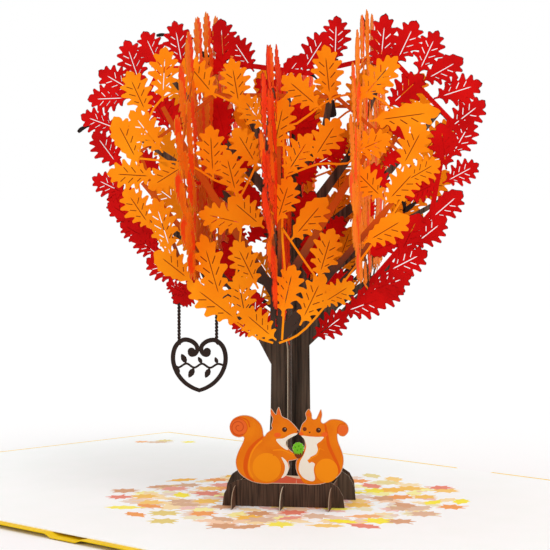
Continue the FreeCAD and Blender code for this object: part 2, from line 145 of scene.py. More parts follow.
def with_cut_edges(mat, normal, rgb, crown_rgb):
    """Gives a sheet's cut edges, the faces that don't look along its normal, their own colours.

    They are pale at the trunk and the roots, and brown up in the crown."""
    tree = mat.node_tree
    shader = tree.nodes["Principled BSDF"]
    geometry = tree.nodes.new("ShaderNodeNewGeometry")
    dot = tree.nodes.new("ShaderNodeVectorMath")
    dot.operation = "DOT_PRODUCT"
    dot.inputs[1].default_value = normal
    size = tree.nodes.new("ShaderNodeMath")
    size.operation = "ABSOLUTE"
    edge = tree.nodes.new("ShaderNodeMath")
    edge.operation = "LESS_THAN"
    edge.inputs[1].default_value = EDGE_FACING
    mix = tree.nodes.new("ShaderNodeMix")
    mix.data_type = "RGBA"
    where = tree.nodes.new("ShaderNodeTexCoord")
    split = tree.nodes.new("ShaderNodeSeparateXYZ")
    high = tree.nodes.new("ShaderNodeMath")
    high.operation = "GREATER_THAN"
    high.inputs[1].default_value = CROWN_START
    tone = tree.nodes.new("ShaderNodeMix")
    tone.data_type = "RGBA"
    tone.inputs["A"].default_value = linear(rgb)
    tone.inputs["B"].default_value = linear(crown_rgb)
    tree.links.new(where.outputs["Object"], split.inputs["Vector"])
    tree.links.new(split.outputs["Z"], high.inputs[0])
    tree.links.new(high.outputs["Value"], tone.inputs["Factor"])
    tree.links.new(tone.outputs["Result"], mix.inputs["B"])
    source = shader.inputs["Base Color"].links[0].from_socket
    tree.links.new(source, mix.inputs["A"])
    tree.links.new(geometry.outputs["Normal"], dot.inputs[0])
    tree.links.new(dot.outputs["Value"], size.inputs[0])
    tree.links.new(size.outputs["Value"], edge.inputs[0])
    tree.links.new(edge.outputs["Value"], mix.inputs["Factor"])
    tree.links.new(mix.outputs["Result"], shader.inputs["Base Color"])
    return mat


# Cut edges of the brown sheets, and how far the noise is drawn out into upright streaks
BARK_EDGE, ROOT_EDGE, CROWN_EDGE = (190, 176, 154), (156, 132, 110), (86, 62, 52)
STREAKS, ROOT_STREAKS = (900, 900, 35), (1700, 1700, 80)


def bark(name, dark, light, streaks, normal, edge):
    """A brown sheet's print in upright streaks, with the colours of its cut edges."""
    return with_cut_edges(mottled(name, dark, light, 1.0, streaks), normal, edge, CROWN_EDGE)


bark_facing = bark("bark_facing", (48, 40, 34), (102, 84, 70), STREAKS, OUT, BARK_EDGE)
bark_cross = bark("bark_cross", (58, 46, 38), (116, 92, 76), STREAKS, ALONG, BARK_EDGE)
root_facing = bark("root_facing", (54, 40, 32), (92, 68, 54), ROOT_STREAKS, OUT, ROOT_EDGE)
root_cross = bark("root_cross", (74, 50, 38), (112, 80, 62), ROOT_STREAKS, ALONG, ROOT_EDGE)
# Outer branches: brown bark low down, and up in the crown painted shade, the dark orange of shaded
# leaves
branch_shade_orange = rising("branch_brown_to_shade_orange", (62, 46, 38), (200, 82, 10), SHADE_ORANGE_START, SHADE_ORANGE_END)

red = mottled("leaf_red", (190, 0, 2), (216, 6, 6), 90)
red_edge = paper("leaf_red_edge", (92, 8, 12))
scarlet = mottled("leaf_scarlet", (250, 52, 10), (255, 80, 18), 90)
scarlet_edge = paper("leaf_scarlet_edge", (176, 44, 16))
bright_orange = mottled("leaf_bright_orange", (250, 96, 6), (255, 118, 10), 70)
orange = mottled("leaf_orange", (250, 138, 0), (255, 152, 6), 70)
orange_edge = paper("leaf_orange_edge", (214, 118, 26))
# Dark lines for the veins' slits: partly their cut edges and the dark sheet behind, partly painted
# shade
vein_cut_edge_and_shade = paper("vein_cut_edge_and_shade", (132, 54, 4))
side_orange = mottled("leaf_side_orange", (246, 112, 8), (255, 134, 10), 70)
side_scarlet = mottled("leaf_side_scarlet", (250, 66, 8), (255, 88, 12), 70)
backing = paper("backing_brown", (84, 16, 22))
dark_twig = paper("twig_brown", (38, 28, 26))

cover_yellow = mottled("cover_yellow", (238, 196, 14), (246, 206, 26), 120, rough=0.6)
liner_white = mottled("liner_white", (251, 254, 252), (253, 255, 254), 60, rough=0.6)
sign_brown = paper("sign_brown", (52, 40, 36))


# Building pieces

def triangles(loops):
    """The triangles between an outline and its holes, by the numbers of their corners."""
    return tessellate_polygon([[Vector((u, z, 0)) for u, z in loop] for loop in loops])


class Builder:
    """Collects flat cut-outs with a thickness and makes them one piece."""

    def __init__(self):
        self.points, self.faces, self.slots = [], [], []

    def cut_out(self, outline, holes, place, front, back, top_slot=0, side_slot=1, shape=None):
        """Adds a cut-out between two depths. shape gives the triangles of its face, if known."""
        loops = [outline] + holes
        if shape is None:
            shape = triangles(loops)
        drawn = [point for loop in loops for point in loop]
        start = len(self.points)
        count = len(drawn)
        for depth in (front, back):
            self.points += [place(u, z, depth) for u, z in drawn]
        for tri in shape:
            self.faces.append([start + i for i in tri])
            self.faces.append([start + count + i for i in reversed(tri)])
            self.slots += [top_slot, top_slot]
        base = 0
        for loop in loops:
            size = len(loop)
            for i in range(size):
                a, b = start + base + i, start + base + (i + 1) % size
                self.faces.append([a, b, b + count, a + count])
                self.slots.append(side_slot)
            base += size

    def make(self, name, materials, replaced=()):
        """Makes the piece, which rides on the root and may take the place of CAD nodes."""
        mesh = bpy.data.meshes.new(name)
        mesh.from_pydata([tuple(p) for p in self.points], [], self.faces)
        for mat in materials:
            mesh.materials.append(mat)
        mesh.polygons.foreach_set("material_index", self.slots)
        bm = bmesh.new()
        bm.from_mesh(mesh)
        bmesh.ops.recalc_face_normals(bm, faces=bm.faces)
        bm.to_mesh(mesh)
        bm.free()
        obj = bpy.data.objects.new(name, mesh)
        bpy.context.scene.collection.objects.link(obj)
        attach(obj, "root")
        if replaced:
            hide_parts(*replaced)


def smooth(points, steps=6, closed=False):
    """A smooth line through the points."""
    result = []
    count = len(points)
    spans = count if closed else count - 1
    for i in range(spans):
        if closed:
            p = [points[(i + k) % count] for k in (-1, 0, 1, 2)]
        else:
            p = [points[max(i - 1, 0)], points[i], points[i + 1], points[min(i + 2, count - 1)]]
        for step in range(steps):
            t = step / steps
            weights = (-t ** 3 + 2 * t ** 2 - t, 3 * t ** 3 - 5 * t ** 2 + 2,
                       -3 * t ** 3 + 4 * t ** 2 + t, t ** 3 - t ** 2)
            result.append(tuple(sum(w * q[axis] for w, q in zip(weights, p)) / 2
                                for axis in (0, 1)))
    if not closed:
        result.append(points[-1])
    return result


def strip(line, widths):
    """The outline of a band along a line. widths gives its width at each share of the way."""
    left, right = [], []
    last = len(line) - 1
    for i, (u, z) in enumerate(line):
        before, after = line[max(i - 1, 0)], line[min(i + 1, last)]
        run = math.hypot(after[0] - before[0], after[1] - before[1]) or 1.0
        half = widths(i / last) / 2
        across = ((before[1] - after[1]) / run * half, (after[0] - before[0]) / run * half)
        left.append((u + across[0], z + across[1]))
        right.append((u - across[0], z - across[1]))
    return left + right[::-1]


def even(width):
    """The same width all along a band."""
    return lambda share: width


# Oak leaves, drawn from the stem at 0 to the tip at 1, with slits for the veins

# Three drawings of a leaf's right half, as (out from the midrib, up)
LEAF_SIDES = (
    (
        (0.02, 0.0), (0.025, 0.08), (0.095, 0.125), (0.175, 0.135), (0.16, 0.185), (0.105, 0.22),
        (0.175, 0.27), (0.26, 0.29), (0.25, 0.345), (0.165, 0.37), (0.235, 0.43), (0.335, 0.475),
        (0.325, 0.53), (0.20, 0.55), (0.25, 0.61), (0.325, 0.665), (0.30, 0.71), (0.175, 0.705),
        (0.205, 0.77), (0.245, 0.83), (0.205, 0.865), (0.12, 0.845), (0.12, 0.90), (0.09, 0.95),
        (0.035, 0.975)),
    (
        (0.02, 0.0), (0.025, 0.10), (0.085, 0.165), (0.18, 0.185), (0.17, 0.235), (0.105, 0.27),
        (0.18, 0.335), (0.29, 0.37), (0.28, 0.42), (0.175, 0.445), (0.235, 0.505), (0.335, 0.565),
        (0.31, 0.615), (0.19, 0.615), (0.225, 0.675), (0.285, 0.74), (0.25, 0.78), (0.15, 0.77),
        (0.16, 0.83), (0.185, 0.89), (0.14, 0.915), (0.08, 0.90), (0.06, 0.955), (0.03, 0.98)),
    (
        (0.02, 0.0), (0.025, 0.07), (0.085, 0.14), (0.165, 0.22), (0.145, 0.285), (0.21, 0.36),
        (0.19, 0.435), (0.265, 0.52), (0.23, 0.605), (0.27, 0.70), (0.20, 0.765), (0.195, 0.85),
        (0.12, 0.905), (0.055, 0.97)))
MIDRIB = ((0.0, 0.18), (0.0, 0.78))
SIDE_VEINS = (
    ((0.05, 0.27), (0.13, 0.34)), ((0.05, 0.42), (0.17, 0.52)), ((0.045, 0.575), (0.155, 0.675)))
LEFT_VEIN_RISE = 0.045
# Width of a vein, and the share of its length in which it runs out into a point
VEIN_WIDTH, VEIN_POINT = 0.018, 0.1


def vein(start, end):
    """A thin slit with pointed ends."""
    du, dz = end[0] - start[0], end[1] - start[1]
    run = math.hypot(du, dz)
    across = (-dz / run * VEIN_WIDTH / 2, du / run * VEIN_WIDTH / 2)
    near = (start[0] + du * VEIN_POINT, start[1] + dz * VEIN_POINT)
    far = (start[0] + du * (1 - VEIN_POINT), start[1] + dz * (1 - VEIN_POINT))
    return [start, (near[0] + across[0], near[1] + across[1]),
            (far[0] + across[0], far[1] + across[1]), end,
            (far[0] - across[0], far[1] - across[1]), (near[0] - across[0], near[1] - across[1])]


def leaf_veins(sides):
    """The midrib, and side veins on the sides that are named, a little higher on the left."""
    found = [vein(*MIDRIB)]
    for side in sides:
        rise = LEFT_VEIN_RISE if side < 0 else 0.0
        found += [vein((side * u, z + rise), (side * end_u, end_z + rise))
                  for (u, z), (end_u, end_z) in SIDE_VEINS]
    return found


def leaf_shape(right, left, veins, cut):
    """A leaf from two halves: outline, slits, their triangles, and printed dark veins: cut edge and
    painted shade.
    """
    mirrored = [(-u, z) for u, z in LEAF_SIDES[left][::-1]]
    outline = smooth(list(LEAF_SIDES[right]) + [(0.0, 1.0)] + mirrored, 2, True)
    holes = veins if cut else []
    return outline, holes, triangles([outline] + holes), [] if cut else veins


# The drawing used on the right, the one on the left, and the sides that have veins
PATTERNS = (
    (0, 1, (1, -1)), (1, 0, (1, -1)), (0, 0, (1,)), (1, 1, (1, -1)), (0, 2, (1,)), (1, 0, (-1,)))
CUT_SHAPES = [leaf_shape(right, left, leaf_veins(sides), True) for right, left, sides in PATTERNS]
# These leaves get dark vein lines in place of slits, partly painted shade
SHADED_VEIN_SHAPES = [leaf_shape(right, left, leaf_veins(sides), False)
                  for right, left, sides in PATTERNS]
PLAIN_SHAPES = [leaf_shape(right, left, [], False) for right, left, sides in PATTERNS]

# Each leaf lies LEAF_STEP behind the last one, and every LEAF_STEPS they start again
LEAF_STEP, LEAF_STEPS = 0.0035, 40
# Printed veins reach this far into the leaf, and stand half as far out of it. Their dark is partly
# the slits' cut edges and the sheet behind, and partly painted shade
VEIN_SHADE_REACH = 0.02
# A leaf that is longer than this gets no wider
SLIM_FROM = 16.0
# Steps through the shapes, kinds and tones, which keep neighbours from being alike
SHAPE_STRIDE, KIND_STRIDE, TONE_STRIDE = 7, 3, 5
# Width of the bands that hold the leaves together, and how far they lie behind the leaves
WEB, RIM_WEB, WEB_SET_BACK = 0.7, 1.8, 0.15
VEIN_SLOT = 2


def put_leaf(builder, pair, place, front, back, index, shapes=CUT_SHAPES, grow=1.0, slots=(0, 1)):
    """A leaf from stem to tip. Each one lies a hair behind the last: no two faces coincide."""
    outline, holes, shape, printed = shapes[index * SHAPE_STRIDE % len(shapes)]
    u, z, tip_u, tip_z = pair
    run = (tip_u - u, tip_z - z)
    middle = (u + run[0] / 2, z + run[1] / 2)
    slim = min(1.0, SLIM_FROM / math.hypot(*run))

    def lay(points):
        laid = []
        for share, up in points:
            across = share * slim
            x = u + run[0] * up + run[1] * across
            y = z + run[1] * up - run[0] * across
            laid.append((middle[0] + (x - middle[0]) * grow, middle[1] + (y - middle[1]) * grow))
        return laid

    top = front - LEAF_STEP * (index % LEAF_STEPS)
    builder.cut_out(lay(outline), [lay(hole) for hole in holes], place, top, back, *slots, shape)
    # The dark vein lines on both faces, partly painted shade
    for line in printed:
        for face, inner in ((top, -VEIN_SHADE_REACH), (back, VEIN_SHADE_REACH)):
            builder.cut_out(lay(line), [], place, face - inner / 2, face + inner,
                            VEIN_SLOT, VEIN_SLOT)


# Leaves as (stem u, stem z, tip u, tip z), and the rims and webs that carry them
MIDDLE_LEAVES = [
    (-53, 146, -58.5, 162), (-54.5, 143.5, -68, 151.5), (-46, 152, -52, 165),
    (-38, 152, -41, 168.5), (-23.5, 153, -24.5, 169), (-13, 151, -21, 163), (-57, 142, -72, 141.5),
    (-61, 131, -74.5, 136), (-61, 118, -70, 130), (-58, 108, -70.5, 114), (-55, 99, -65, 105),
    (-50, 92, -60.5, 98), (-46, 86, -56, 94), (-40, 78, -51, 85.5), (-37, 73, -44, 77),
    (-11, 60, -21, 63), (-13, 61.5, -12, 74), (-22.5, 126, -27, 143.5), (-43, 131, -50, 144),
    (-22, 113, -34, 106), (-20, 88, -18, 98), (-26, 74, -22, 88), (-4, 146, 4, 156),
    (4, 150, 13, 164), (15.5, 154, 16, 169.5), (31, 150, 33, 170), (36.5, 153, 43.5, 167.5),
    (44, 149, 51, 164), (46, 147, 59.5, 154.5), (50, 141, 66, 146), (54, 130, 67, 140),
    (55, 120, 63, 134), (54, 117, 52, 132.5), (53, 112, 65, 118.5), (48, 99, 59.5, 109),
    (42, 90, 54, 99.5), (33, 81, 47.5, 88.5), (26, 74, 42, 80), (18, 67, 34, 73), (8, 58, 20, 67),
    (38, 87, 45, 101.5), (34, 138, 46, 149), (51, 112, 40, 107), (2, 127, 5, 141),
    (8, 118, 19, 124), (10, 96, 6, 82), (38, 92, 27, 88)]

FRONT_LEAVES = [
    (-43, 134, -50, 149), (-38, 139, -37, 157), (-20, 140, -31, 153), (-12, 136, -15, 153),
    (-46, 118, -54.5, 134), (-38, 122, -49, 136), (-40, 114, -57, 115), (-42, 97, -51, 110),
    (-30, 118, -43, 110), (-35, 88, -41, 107), (-28, 79, -41, 89), (-11, 65, -30, 79),
    (-18, 71, -25, 95), (-10, 66, -13, 82), (0, 60, -12, 70), (-6, 77, -14, 93),
    (-4, 97, -16, 107), (-9, 98, -26, 102), (-13, 107, -17, 123), (-21, 113, -22, 131),
    (-6, 117, -14, 130), (-3, 129, -12, 141), (-1, 122, 3, 140), (15, 136, 2, 147),
    (18, 138, 16, 157), (3, 114, 12, 128), (12, 119, 21, 133), (0, 98, 5, 114), (5, 93, 17, 107),
    (2, 68, 6, 85), (8, 65, 16, 82), (14, 80, 19, 97), (15, 72, 26, 79), (27, 138, 40, 153),
    (31, 132, 54, 135), (41, 116, 49, 131), (42, 112, 54, 119), (24, 121, 38, 127),
    (36, 105, 47, 117), (36, 106, 25, 117), (29, 92, 44, 101)]

BACK_INNER = [
    (-14, 82, -2, 94), (-12, 107, 0, 118), (-30, 118, -22, 132), (14, 80, 24, 94),
    (14, 118, 6, 132), (28, 124, 16, 134), (2, 97, 16, 108)]

MIDDLE_RIM = [
    (-5, 54), (-27, 72), (-49, 90), (-62, 122), (-46, 152), (-16, 153), (6, 150), (34, 156),
    (55, 134), (49, 102), (24, 73), (4, 54)]
OUTER_RIM = [
    (-1, 59), (-10, 63), (-30, 80), (-44, 102), (-46, 122), (-38, 140), (-20, 141), (2, 130),
    (20, 140), (36, 138), (45, 118), (40, 104), (26, 84), (10, 64), (1, 59)]
HEART_RIM = [
    (-4, 56), (-24, 68), (-42, 84), (-56, 104), (-62, 122), (-56, 138), (-44, 143), (-28, 140),
    (-14, 130), (0, 122), (14, 130), (28, 140), (44, 143), (56, 138), (62, 122), (56, 104),
    (42, 84), (24, 68), (4, 56)]
SIDE_RIM = [
    (-8, 76), (-26, 80), (-42, 90), (-54, 106), (-56, 122), (-50, 138), (-36, 149), (-18, 154),
    (0, 155), (18, 154), (36, 149), (50, 138), (56, 122), (54, 106), (42, 90), (26, 80), (8, 76)]
HEART_INNER = [(-20, 80, -9, 93), (-21, 96, -11, 112), (-23, 106, -39, 120), (-34, 97, -46, 112),
               (20, 80, 9, 93), (21, 96, 11, 112), (23, 106, 39, 120), (34, 97, 46, 112)]
SIDE_INNER = [(-10, 88, -24, 98), (-10, 106, -22, 120), (-10, 126, -24, 138), (10, 88, 24, 98),
              (10, 106, 22, 120), (10, 126, 24, 138), (-30, 102, -44, 114), (30, 102, 44, 114)]


# How far the leaves along a rim turn to one side and the other by turns
SWING = 0.2


def along(rim, centre, gap, length):
    """Stems and tips of leaves at an even gap along a rim, pointing away from the centre."""
    pairs, walked = [], 0.0
    for (u, z), (next_u, next_z) in zip(rim, rim[1:]):
        run = math.hypot(next_u - u, next_z - z)
        while walked < run:
            at = (u + (next_u - u) * walked / run, z + (next_z - z) * walked / run)
            away = math.atan2(at[1] - centre[1], at[0] - centre[0])
            away += SWING if len(pairs) % 2 else -SWING
            tip = (at[0] + length * math.cos(away), at[1] + length * math.sin(away))
            pairs.append(at + tip)
            walked += gap
        walked -= run
    return pairs


def leaf_piece(name, leaves, webs, place, materials, node, kinds=(CUT_SHAPES,),
               tones=(0,)):
    """A leaf sheet. Its leaves take the kinds of shape and the tones of its colour in turn."""
    builder = Builder()
    for line in webs:
        band = strip(smooth(line, 4), even(WEB))
        builder.cut_out(band, [], place, LEAF_FRONT - WEB_SET_BACK, LEAF_BACK)
    for index, pair in enumerate(leaves):
        kind = kinds[index * KIND_STRIDE % len(kinds)]
        tone = tones[index * TONE_STRIDE % len(tones)]
        put_leaf(builder, pair, place, LEAF_FRONT, LEAF_BACK, index, kind, slots=(tone, 1))
    builder.make(name, materials, [node])


def inside(point, outline):
    """Tells whether a point lies inside a closed outline."""
    u, z = point
    crossings = 0
    for (u0, z0), (u1, z1) in zip(outline, outline[1:] + outline[:1]):
        if (z0 > z) != (z1 > z) and u < u0 + (z - z0) / (z1 - z0) * (u1 - u0):
            crossings += 1
    return crossings % 2 == 1


# Of the scattered leaves: how far they stray from their place (in gaps), lean (in radians) and
# vary in length, and the share of a leaf that has to lie inside the rim
STRAY, LEAN, LENGTHS, SHARE_INSIDE = 0.25, 0.5, (0.85, 1.15), 0.6


def filling(rim, centre, gap, length, seed):
    """Leaves scattered inside a rim, that lean away from its centre."""
    pick = random.Random(seed)
    pairs = []
    low, high = min(z for u, z in rim), max(z for u, z in rim)
    left, right = min(u for u, z in rim), max(u for u, z in rim)
    for row in range(round((high - low) / gap)):
        for column in range(round((right - left) / gap)):
            u = left + (column + 0.5 + 0.5 * (row % 2)) * gap + pick.uniform(-1, 1) * gap * STRAY
            z = low + (row + 0.5) * gap + pick.uniform(-1, 1) * gap * STRAY
            away = math.atan2(z - centre[1], u - centre[0]) + pick.uniform(-LEAN, LEAN)
            reach = length * pick.uniform(*LENGTHS)
            tip = (u + reach * math.cos(away), z + reach * math.sin(away))
            inner = (u + (tip[0] - u) * SHARE_INSIDE, z + (tip[1] - z) * SHARE_INSIDE)
            if inside((u, z), rim) and inside(inner, rim):
                pairs.append((u, z) + tip)
    return pairs


OUTER_WEBS = [[(-16, 68), (-13, 84), (-12, 107), (-21, 113), (-30, 118), (-46, 120)],
              [(-12, 107), (-7, 117), (-2, 131)], [(2, 60), (3, 80), (2, 97), (3, 114), (2, 131)],
              [(2, 97), (14, 80), (20, 76)], [(3, 114), (14, 118), (26, 120), (28, 141)],
              [(26, 120), (36, 106), (42, 108)], OUTER_RIM]
MORE_MIDDLE = [
    (-23, 124, -29, 144), (10, 126, 0.5, 140), (-23.4, 113, -33, 102), (-31.6, 105, -29, 117),
    (-19, 113, -11, 104), (-19, 115, -13.5, 122), (-26, 75.5, -18, 94), (-15, 91, -8.5, 98.5),
    (1.5, 97, 8.5, 109), (11, 90, 18.5, 100.5), (6, 79, 8.5, 95), (13, 120, 19.5, 127.5),
    (1.5, 111.5, 9, 118.5), (34.5, 110, 27, 118.5), (28.6, 100, 26.5, 107), (25.5, 87, 38, 95.5),
    (41, 126.5, 34.5, 134), (32, 117.5, 39, 123.5), (51, 118, 41, 106), (-46, 116, -55, 123),
    (-56, 96, -63, 110), (-46.5, 88.5, -58.5, 100.5), (-38, 131, -47.5, 142),
    (-27.5, 149, -24, 157), (9, 76, 22, 79.5), (26, 70, 39.5, 76.5), (-4, 62, -16, 66),
    (-1, 140, -12, 148), (48, 124, 58, 126), (-34, 78, -41.5, 69.8), (-33, 75, -38.2, 68.8)]

# Most orange leaves have dark vein lines in place of slits, partly painted shade
leaf_piece("front_leaves", FRONT_LEAVES, OUTER_WEBS, facing(FACING_GAP),
           [orange, orange_edge, vein_cut_edge_and_shade], "front_leaf_sheet",
           (SHADED_VEIN_SHAPES, SHADED_VEIN_SHAPES, SHADED_VEIN_SHAPES, CUT_SHAPES))
leaf_piece("back_leaves", along(OUTER_RIM[2:-2], (0, 55), 9, 16.5) + BACK_INNER
           + filling(OUTER_RIM, (0, 55), 11, 15, 3), OUTER_WEBS, facing(-FACING_GAP),
           [orange, orange_edge, vein_cut_edge_and_shade], "back_leaf_sheet",
           (SHADED_VEIN_SHAPES, CUT_SHAPES))
leaf_piece("middle_leaves", MIDDLE_LEAVES, [], facing(0.0), [red, red_edge],
           "middle_leaf_sheet")
leaf_piece("cross_leaves", along(HEART_RIM[1:-1], (0, 60), 9, 16.5) + HEART_INNER
           + filling(HEART_RIM, (0, 60), 8.5, 14, 4), [HEART_RIM], cross(0.0),
           [scarlet, scarlet_edge, bright_orange], "cross_leaf_sheet",
           (CUT_SHAPES, PLAIN_SHAPES), (0, 0, 0, 2))
for side, offset, seed, tones in (("right", CROSS_GAP, 5, (0, 2, 0, 0)),
                                  ("left", -CROSS_GAP, 6, (0, 2, 0, 2))):
    leaf_piece(side + "_leaves", along(SIDE_RIM[1:-1], (0, 72), 8, 16.2) + SIDE_INNER
               + filling(SIDE_RIM, (0, 70), 8, 14, seed), [SIDE_RIM], cross(offset),
               [side_orange, orange_edge, side_scarlet], side + "_leaf_sheet",
               (CUT_SHAPES, PLAIN_SHAPES), tones)

# More red leaves stand behind the middle sheet's own, between its branches
MORE_SET_BACK, RIM_WEB_SET_BACK = 0.16, 0.2
more = Builder()
for index, pair in enumerate(MORE_MIDDLE):
    put_leaf(more, pair, facing(0.0), LEAF_FRONT - MORE_SET_BACK, LEAF_BACK, index, PLAIN_SHAPES)
more.cut_out(strip(MIDDLE_RIM[1:-1], even(RIM_WEB)), [], facing(0.0),
             LEAF_FRONT - RIM_WEB_SET_BACK, LEAF_BACK)
more.make("inner_red_leaves", [red, red_edge])

# The brown sheet behind the red leaves has the same leaves, a little larger, which shows as a
# dark rim. They lie between these depths under its face. Twigs and spots fill its thickness.
RIM_FRONT, RIM_BACK = SHEET / 2 - 0.02, SHEET / 2 - 0.12
TWIG_FRONT = SHEET / 2 - 0.01
rims = Builder()
for pairs, shapes, grow in ((MIDDLE_LEAVES, CUT_SHAPES, 1.035), (MORE_MIDDLE, PLAIN_SHAPES, 1.04)):
    for index, pair in enumerate(pairs):
        put_leaf(rims, pair, facing(0.0), RIM_FRONT, RIM_BACK, index, shapes, grow)
TWIGS = [
    ([(-75.7, 130.0), (-74, 131.4), (-71, 132.4)], 1.5),
    ([(-47.4, 163.6), (-45, 163.9), (-42, 163.4)], 1.2),
    ([(46, 138.2), (49.5, 137.8), (53, 135.2), (56.4, 130)], 1.3),
    ([(5.2, 150), (7.3, 149.6), (9.8, 147.4)], 1.3),
    ([(38.3, 107.8), (39.6, 104.6), (39.4, 101.6)], 1.5), ([(39.2, 102), (44.5, 106)], 1.9),
    ([(27.5, 88.7), (31, 89), (38, 87.6)], 1.4), ([(-25.5, 74.3), (-18.5, 71)], 1.5)]


def tapered(width):
    """A quarter of the width at the start of a band, and nearly all of it from the middle on."""
    return lambda share: width * (0.25 + 0.75 * math.sin(math.pi * min(share + 0.15, 0.9)))


for line, width in TWIGS:
    rims.cut_out(strip(smooth(line, 4), tapered(width)), [], facing(0.0), TWIG_FRONT, -TWIG_FRONT,
                 1, 1)

DARK_SPOTS = [
    [(-31.8, 158.4), (-26, 154.2), (-27.8, 152.4), (-31, 151.4)],
    [(24.9, 169.6), (24.1, 167), (24.8, 161.2), (26.5, 163.8), (26.6, 166.4)],
    [(14.9, 140.9), (13.3, 137.5), (13.3, 134.8), (15.9, 135.2), (15.7, 138)],
    [(-22.9, 158.2), (-21.7, 157.4), (-21.9, 154.8), (-23, 155)],
    [(-20.2, 80.4), (-22, 77), (-20.4, 74.4), (-18.4, 77.6)]]
for outline in DARK_SPOTS:
    rims.cut_out(smooth(outline, 3, True), [], facing(0.0), TWIG_FRONT, -TWIG_FRONT, 1, 1)
rims.make("dark_leaf_rims", [backing, dark_twig])


# Card, trunk and roots keep the shapes of the part

def dress(node, mat):
    """Gives a CAD node its one material."""
    data = NODES[node].data
    data.materials.clear()
    data.materials.append(mat)


dress("outer_cover", cover_yellow)
dress("liner", liner_white)
dress("trunk_sheet", bark_facing)
dress("cross_trunk_sheet", bark_cross)
# The outer branch sheets: brown low down, painted shade of orange up in the crown
for name in ("front_branch_sheet", "back_branch_sheet", "left_branch_sheet", "right_branch_sheet"):
    dress(name, branch_shade_orange)
for name in ("front_root_sheet", "back_root_sheet"):
    dress(name, root_facing)
for name in ("left_root_sheet", "right_root_sheet"):
    dress(name, root_cross)


# Hanging sign: heart frame, vine and twisted ropes

SIGN_MIDDLE = -32.4
LOBE = [
    (-0.3, 39.1), (2.4, 40.1), (5.3, 42.0), (7.8, 45.0), (9.2, 48.6), (9.3, 52.0), (8.2, 55.0),
    (5.8, 56.9), (3.2, 56.7), (1.2, 55.3), (0.7, 53.6), (1.4, 52.1), (2.8, 51.7), (3.6, 52.6)]
VINE = [
    (-9.2, 48.4), (-7.4, 47.2), (-4.6, 48.6), (-1.8, 47.2), (1.0, 48.6), (3.8, 47.2), (6.6, 48.6),
    (9.2, 47.9)]
VINE_LEAVES = [
    (-7.4, 47.2, -8.0, 44.2), (-4.6, 48.6, -6.4, 52.0), (-1.8, 47.2, -3.8, 43.6),
    (1.0, 48.6, -0.4, 51.0), (3.8, 47.2, 2.2, 43.6), (6.6, 48.6, 5.6, 51.0)]
# Two ropes, each with its u and its lower and upper end
ROPES = ((-39.6, 56.0, 73.5), (-26.2, 56.2, 75.0))
PETAL = [
    (0.0, 0.0), (0.22, 0.3), (0.26, 0.55), (0.14, 0.85), (0.0, 1.0), (-0.14, 0.85), (-0.26, 0.55),
    (-0.22, 0.3)]
LOBE_WIDTH, LOBE_SWELL, VINE_WIDTH = 1.35, 0.25, 0.75
CURL_U, CURL_Z, CURL_RADIUS = 2.8, 52.9, 1.35
# A rope is a row of leaning beads: their gap, lean and half sizes
BEAD_GAP, BEAD_LEAN, BEAD_HALF, BEAD_REACH = 1.15, 0.5, 0.42, 1.05
# The sign hangs from the back of the trunk sheet, and its parts lie a hair behind each other
SIGN_FRONT, SIGN_BACK = -SHEET / 2 - 0.001, -SHEET / 2 - LEAF

sign = Builder()


def on_sign(outline, set_back):
    """Adds a cut-out to the sign, a hair behind its front."""
    sign.cut_out(outline, [], facing(0.0), SIGN_FRONT - set_back, SIGN_BACK)


for side in (-1, 1):
    line = smooth([(SIGN_MIDDLE + side * u, z) for u, z in LOBE], 6)
    on_sign(strip(line, lambda share: LOBE_WIDTH + LOBE_SWELL * math.sin(math.pi * share)),
            0.002 * side)
    on_sign([(SIGN_MIDDLE + side * CURL_U + CURL_RADIUS * math.cos(a * math.pi / 12),
              CURL_Z + CURL_RADIUS * math.sin(a * math.pi / 12)) for a in range(24)], 0.006)
on_sign(strip(smooth([(SIGN_MIDDLE + u, z) for u, z in VINE], 6), even(VINE_WIDTH)), 0.008)
for index, (u, z, tip_u, tip_z) in enumerate(VINE_LEAVES):
    run = (tip_u - u, tip_z - z)
    on_sign([(SIGN_MIDDLE + u + run[0] * up + run[1] * across, z + run[1] * up - run[0] * across)
             for across, up in PETAL], 0.01 + 0.001 * index)
for u, low, high in ROPES:
    count = round((high - low) / BEAD_GAP)
    for i in range(count + 1):
        z = low + (high - low) * i / count
        bead = []
        for step in range(12):
            x = BEAD_HALF * math.cos(step * math.pi / 6)
            y = BEAD_REACH * math.sin(step * math.pi / 6)
            bead.append((u + x * math.cos(BEAD_LEAN) - y * math.sin(BEAD_LEAN),
                         z + x * math.sin(BEAD_LEAN) + y * math.cos(BEAD_LEAN)))
        on_sign(bead, 0.003 * (i % 3) + 0.02)
sign.make("heart_sign", [sign_brown, sign_brown], ["hanging_sign"])


# Squirrels: the cut-out, and the print on its front

LEFT = [
    (-3.7, 9.7), (0.6, 12.5), (2.2, 15.3), (1.9, 17.4), (3.6, 17.8), (5.4, 18.5), (4.8, 19.8),
    (2.5, 21.1), (1.2, 23.0), (1.4, 24.6), (4.3, 26.4), (5.4, 27.6), (4.9, 28.6), (3.7, 30.0),
    (1.8, 31.7), (-0.3, 32.7), (-0.9, 34.5), (-1.5, 35.9), (-2.2, 34.6), (-2.5, 33.3),
    (-4.2, 35.4), (-4.3, 33.4), (-3.6, 31.9), (-4.1, 29.6), (-3.9, 28.4), (-5.6, 27.0),
    (-6.6, 25.8), (-7.0, 28.2), (-8.0, 30.4), (-10.6, 32.4), (-14.0, 32.9), (-17.2, 31.6),
    (-18.5, 28.9), (-17.6, 26.2), (-15.4, 25.2), (-13.6, 25.4), (-13.9, 23.6), (-15.7, 19.9),
    (-16.4, 16.5), (-15.4, 13.4), (-13.0, 11.3), (-9.3, 9.8)]
